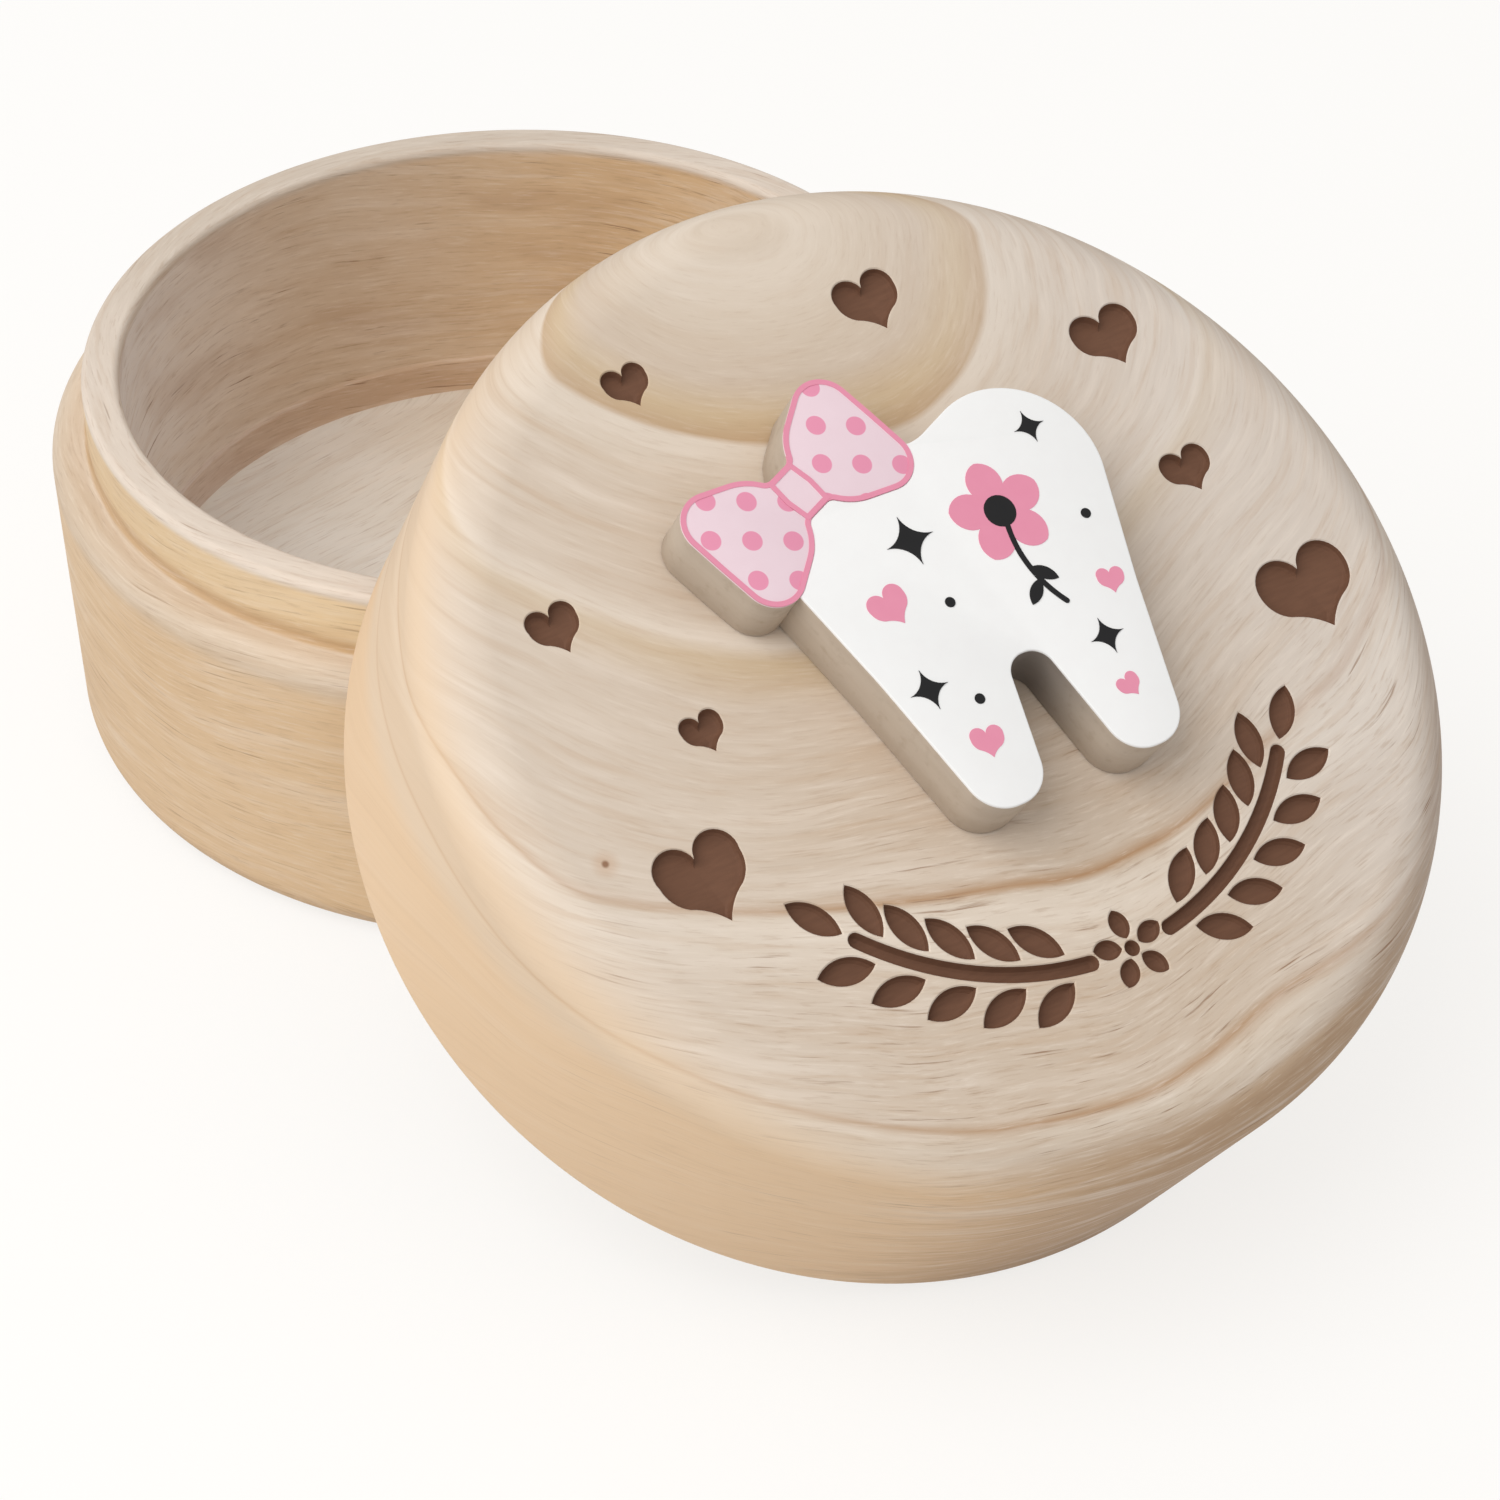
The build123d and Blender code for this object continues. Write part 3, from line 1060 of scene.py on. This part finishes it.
def edges_of(mesh, ring):
    """The edges of a ring of vertices, which are made where there are none yet."""
    pairs = [(ring[index - 1], ring[index]) for index in range(len(ring))]
    return [mesh.edges.get(pair) or mesh.edges.new(pair) for pair in pairs]


def bridged(mesh, first, second, material=0):
    """Faces between two rings of as many vertices."""
    for index in range(len(first)):
        following = (index + 1) % len(first)
        corners = (first[index], first[following], second[following], second[index])
        mesh.faces.new(corners).material_index = material


def swept(mesh, profile, material_at):
    """Sweeps a profile of radii and heights round the axis. Gives back its first and last ring."""
    turns = [2 * math.pi * step / SWEEP_STEPS for step in range(SWEEP_STEPS)]
    rings = []
    for radius, height in profile:
        circle = [(radius * math.cos(turn), radius * math.sin(turn)) for turn in turns]
        rings.append(level_ring(mesh, circle, height))
    for index, (low, high) in enumerate(zip(profile, profile[1:])):
        middle = (low + high) / 2
        bridged(mesh, rings[index], rings[index + 1], material_at(*middle))
    return rings[0], rings[-1]


def make_cup():
    """The cup, whose outside, bore and floor each have their own material."""
    heel_radius = BORE_RADIUS - HEEL_STEP
    profile = rounded([
        (0, 0, 0),
        (FOOT_RADIUS, 0, FOOT_ROUND),
        (BODY_RADIUS, SHOULDER_HEIGHT, SHOULDER_ROUND),
        (NECK_RADIUS, SHOULDER_HEIGHT, NECK_ROUND),
        (NECK_RADIUS, RIM_HEIGHT, RIM_ROUND),
        (BORE_RADIUS, RIM_HEIGHT, RIM_ROUND),
        (BORE_RADIUS, HEEL_TOP, HEEL_ROUND),
        (heel_radius, HEEL_TOP - HEEL_STEP, HEEL_ROUND),
        (heel_radius, FLOOR_HEIGHT, FLOOR_ROUND),
        (0, FLOOR_HEIGHT, 0),
    ])[1:-1]
    materials = ["cup_side", "cup_inside", "cup_floor"]
    outside, inside, floor = range(len(materials))

    def material_at(radius, height):
        if radius < BORE_RADIUS + RIM_ROUND / 2 and height > FLOOR_HEIGHT + FLOOR_ROUND / 2:
            return inside
        if radius < BORE_RADIUS and height > FLOOR_HEIGHT / 2:
            return floor
        return outside

    mesh = bmesh.new()
    first, last = swept(mesh, profile, material_at)
    mesh.faces.new(first).material_index = outside
    mesh.faces.new(last).material_index = floor
    shown(mesh, "cup_turning", "cup", materials, node="cup")


def make_lid():
    """The lid, with the hearts and the garland cut into its crown."""
    profile = rounded([
        (0, LID_HEIGHT, 0),
        (0, HOLLOW_DEPTH, 0),
        (BORE_RADIUS, HOLLOW_DEPTH, HOLLOW_ROUND),
        (BORE_RADIUS, MOUTH_DEPTH, MOUTH_ROUND / 2),
        (MOUTH_RADIUS, MOUTH_DEPTH, MOUTH_ROUND),
        (MOUTH_RADIUS, 0, MOUTH_ROUND),
        (LID_RADIUS, 0, LID_FOOT_ROUND),
        (LID_RADIUS, LID_HEIGHT, CROWN_ROUND),
    ])[2:]
    materials = ["lid_wood", "burnt_wood"]
    wood, burnt = range(len(materials))
    mesh = bmesh.new()
    hollow_middle, crown = swept(mesh, profile, lambda radius, height: wood)
    mesh.faces.new(hollow_middle)
    rims = edges_of(mesh, crown)
    hearts = [heart(*[share * LID_RADIUS for share in shares]) for shares in HEART_PLACE_SHARES]
    for outline, half_width in hearts + garland():
        bowl = min(half_width, ENGRAVING_BOWL)
        rings = [
            level_ring(mesh, outline(inset * bowl), LID_HEIGHT - depth * ENGRAVING_DEPTH)
            for inset, depth in PIT_SHARES
        ]
        rims += edges_of(mesh, rings[0])
        bridged(mesh, rings[0], rings[1], wood)
        for upper, lower in zip(rings[1:], rings[2:]):
            bridged(mesh, upper, lower, burnt)
        mesh.faces.new(rings[-1]).material_index = burnt
    bmesh.ops.triangle_fill(mesh, use_beauty=True, edges=rims, normal=(0, 0, 1))
    shown(mesh, "lid_turning", "lid", materials, node="lid")


def slab(mesh, outline, low, high, ease=0):
    """A flat plate of that outline, with its upper edge rounded by the ease."""
    turns = [math.pi / 2 * step / EASE_STEPS for step in range(EASE_STEPS + 1)] if ease else [0]
    rings = [level_ring(mesh, outline, low)]
    for turn in turns:
        line = pulled_in(outline, ease * (1 - math.cos(turn)))
        rings.append(level_ring(mesh, line, high - ease * (1 - math.sin(turn))))
    for lower, upper in zip(rings, rings[1:]):
        bridged(mesh, lower, upper)
    mesh.faces.new(rings[0])
    mesh.faces.new(rings[-1])


def band(mesh, outline, low, high):
    """The bow's thin line, just inside the outline."""
    inner = pulled_in(outline, BOW_LINE)
    corners = ((outline, low), (outline, high), (inner, high), (inner, low))
    rings = [level_ring(mesh, line, level) for line, level in corners]
    for index, ring in enumerate(rings):
        bridged(mesh, ring, rings[(index + 1) % len(rings)])


def make_board():
    """The board, the paint on its face, and the bow's lines and knot."""
    tooth, bow, knot = tooth_outline(), bow_outline(), knot_outline()
    board = walked(tooth, bow)
    white = walked(tooth, list(reversed(bow)))
    line_top = PAINT_TOP + INK_THICKNESS
    knot_top = PAINT_TOP + INK_THICKNESS * KNOT_RISE
    knot_line_top = PAINT_TOP + INK_THICKNESS * KNOT_LINE_RISE
    board_ends = (BOARD_BASE, BOARD_TOP, BOARD_EASE)
    paint_ends = (BOARD_TOP, PAINT_TOP, PAINT_EASE)
    for name, slot, material, node, form, outline, ends in (
        ("board_blank", "board_wood", "board_wood", "tooth_board", slab, board, board_ends),
        ("tooth_coat", "white_paint", "white_coat", "tooth_paint", slab, white, paint_ends),
        ("bow_coat", "pink_paint", "dotted_pink", "bow_paint", slab, bow, paint_ends),
        ("bow_line", "pink_paint", "rose_ink", None, band, bow, (INK_BASE, line_top)),
        ("knot_coat", "pink_paint", "pale_pink", None, slab, knot, (INK_BASE, knot_top)),
        ("knot_line", "pink_paint", "rose_ink", None, band, knot, (INK_BASE, knot_line_top)),
    ):
        mesh = bmesh.new()
        form(mesh, outline, *ends)
        shown(mesh, name, "lid", [material], node=node)


def make_print():
    """The print's two inks. Each form ends a hair lower than the last, so that none are level."""
    for name, slot, material, forms, rise in (
        ("print_pink", "pink_paint", "rose_ink", pink_forms(), 1),
        ("print_black", "white_paint", "black_ink", black_forms(), BLACK_RISE),
    ):
        mesh = bmesh.new()
        for index, (outline, _) in enumerate(forms):
            top = PAINT_TOP + INK_THICKNESS * rise - index * INK_STEP
            slab(mesh, outline(0), INK_BASE, top)
        shown(mesh, name, "lid", [material])


def make_glue():
    """The glue film, which is the frame's own piece in dried glue."""
    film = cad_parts["glue_film"]
    film.data.materials.clear()
    film.data.materials.append(MATERIALS["dried_glue"])


# Floor: white, and brighter to the camera and to mirrors than to the object. It lies a hair below
# the box, so that the two are never level.
FLOOR_SIZE = 6.0
FLOOR_DROP = 0.02 * MM
FLOOR_TONE = colour(218, 218, 218)
FLOOR_GLOW_TONE = colour(255, 253, 250)
FLOOR_GLOW_SHARE = 0.72
FLOOR_GLOW = 1.1

# Studio light: a white room that is brighter up on the left, and one large soft lamp there
ROOM_TONE = (0.97, 0.985, 1.0, 1)
ROOM_STRENGTH = 0.48
ROOM_CONTRAST = 0.8
ROOM_BRIGHT_SIDE = Vector((-0.45, -0.1, 0.9)).normalized()
KEY_TONE = (1.0, 0.985, 0.96)
KEY_POWER = 1.62
KEY_SIZE = 0.5
KEY_DISTANCE = 0.55
KEY_AZIMUTH = math.radians(184)
KEY_ELEVATION = math.radians(54)
AIM = Vector((0, -25 * MM, 15 * MM))

# Camera, from a fit of both turnings' outlines to the photograph. Its lens and sensor are in
# millimetres, as Blender has them.
CAMERA_PLACE = Vector((-95.06, -169.09, 154.81)) * MM
CAMERA_TURN = [math.radians(degrees) for degrees in (49.848, -0.766, -33.339)]
CAMERA_LENS = 86.11
CAMERA_SENSOR = 36
CAMERA_CLIP_START = 10 * MM


def make_floor():
    """The studio's floor, which keeps the box's shadow."""
    material = bpy.data.materials.new("studio_floor")
    paint = Nodes(material)
    paint.tree.nodes.remove(paint.tree.nodes["Principled BSDF"])
    matt = paint.add("BsdfDiffuse", {"Color": FLOOR_TONE})
    glow = paint.add("Emission", {"Color": FLOOR_GLOW_TONE, "Strength": FLOOR_GLOW})
    ray = paint.add("LightPath", {}).node.outputs
    seen = paint.math("MAXIMUM", ray["Is Camera Ray"], ray["Is Glossy Ray"])
    share = paint.math("MULTIPLY", seen, FLOOR_GLOW_SHARE)
    surface = paint.add("MixShader", {0: share, 1: matt, 2: glow})
    paint.feed(paint.tree.nodes["Material Output"].inputs["Surface"], surface)
    mesh = bmesh.new()
    bmesh.ops.create_grid(mesh, x_segments=1, y_segments=1, size=FLOOR_SIZE / 2)
    floor = placed(mesh, "studio_floor", [material])
    floor.location.z = -FLOOR_DROP


def make_room():
    """The white room, which the camera sees as plain white."""
    world = bpy.data.worlds.new("studio")
    bpy.context.scene.world = world
    room = Nodes(world)
    toward = room.add("TexCoord", {}, output="Generated")
    facing = room.vector_math("DOT_PRODUCT", toward, ROOM_BRIGHT_SIDE, output="Value")
    strength = room.math("MULTIPLY_ADD", facing, ROOM_STRENGTH * ROOM_CONTRAST, ROOM_STRENGTH)
    light = room.tree.nodes["Background"]
    light.inputs["Color"].default_value = ROOM_TONE
    room.feed(light.inputs["Strength"], strength)
    white = room.add("Background", {"Color": (1, 1, 1, 1)})
    seen = room.add("LightPath", {}, output="Is Camera Ray")
    surface = room.add("MixShader", {0: seen, 1: light.outputs[0], 2: white})
    room.feed(room.tree.nodes["World Output"].inputs["Surface"], surface)


def make_lamp():
    """The one lamp, a large soft disk."""
    lamp = bpy.data.lights.new("key", "AREA")
    lamp.shape = "DISK"
    lamp.size = KEY_SIZE
    lamp.energy = KEY_POWER
    lamp.color = KEY_TONE
    key = linked("key", lamp)
    level = math.cos(KEY_ELEVATION)
    side = (math.cos(KEY_AZIMUTH) * level, math.sin(KEY_AZIMUTH) * level)
    toward = Vector((*side, math.sin(KEY_ELEVATION)))
    key.location = AIM + toward * KEY_DISTANCE
    key.rotation_euler = toward.to_track_quat("Z", "Y").to_euler()


def make_camera():
    """The camera at the photograph's viewing angle."""
    lens = bpy.data.cameras.new("camera")
    lens.lens = CAMERA_LENS
    lens.sensor_width = CAMERA_SENSOR
    lens.clip_start = CAMERA_CLIP_START
    camera = linked("camera", lens)
    camera.location = CAMERA_PLACE
    camera.rotation_euler = CAMERA_TURN
    bpy.context.scene.camera = camera


make_cup()
make_lid()
make_board()
make_print()
make_glue()
make_floor()
make_room()
make_lamp()
make_camera()
bpy.context.scene.view_settings.view_transform = "Standard"
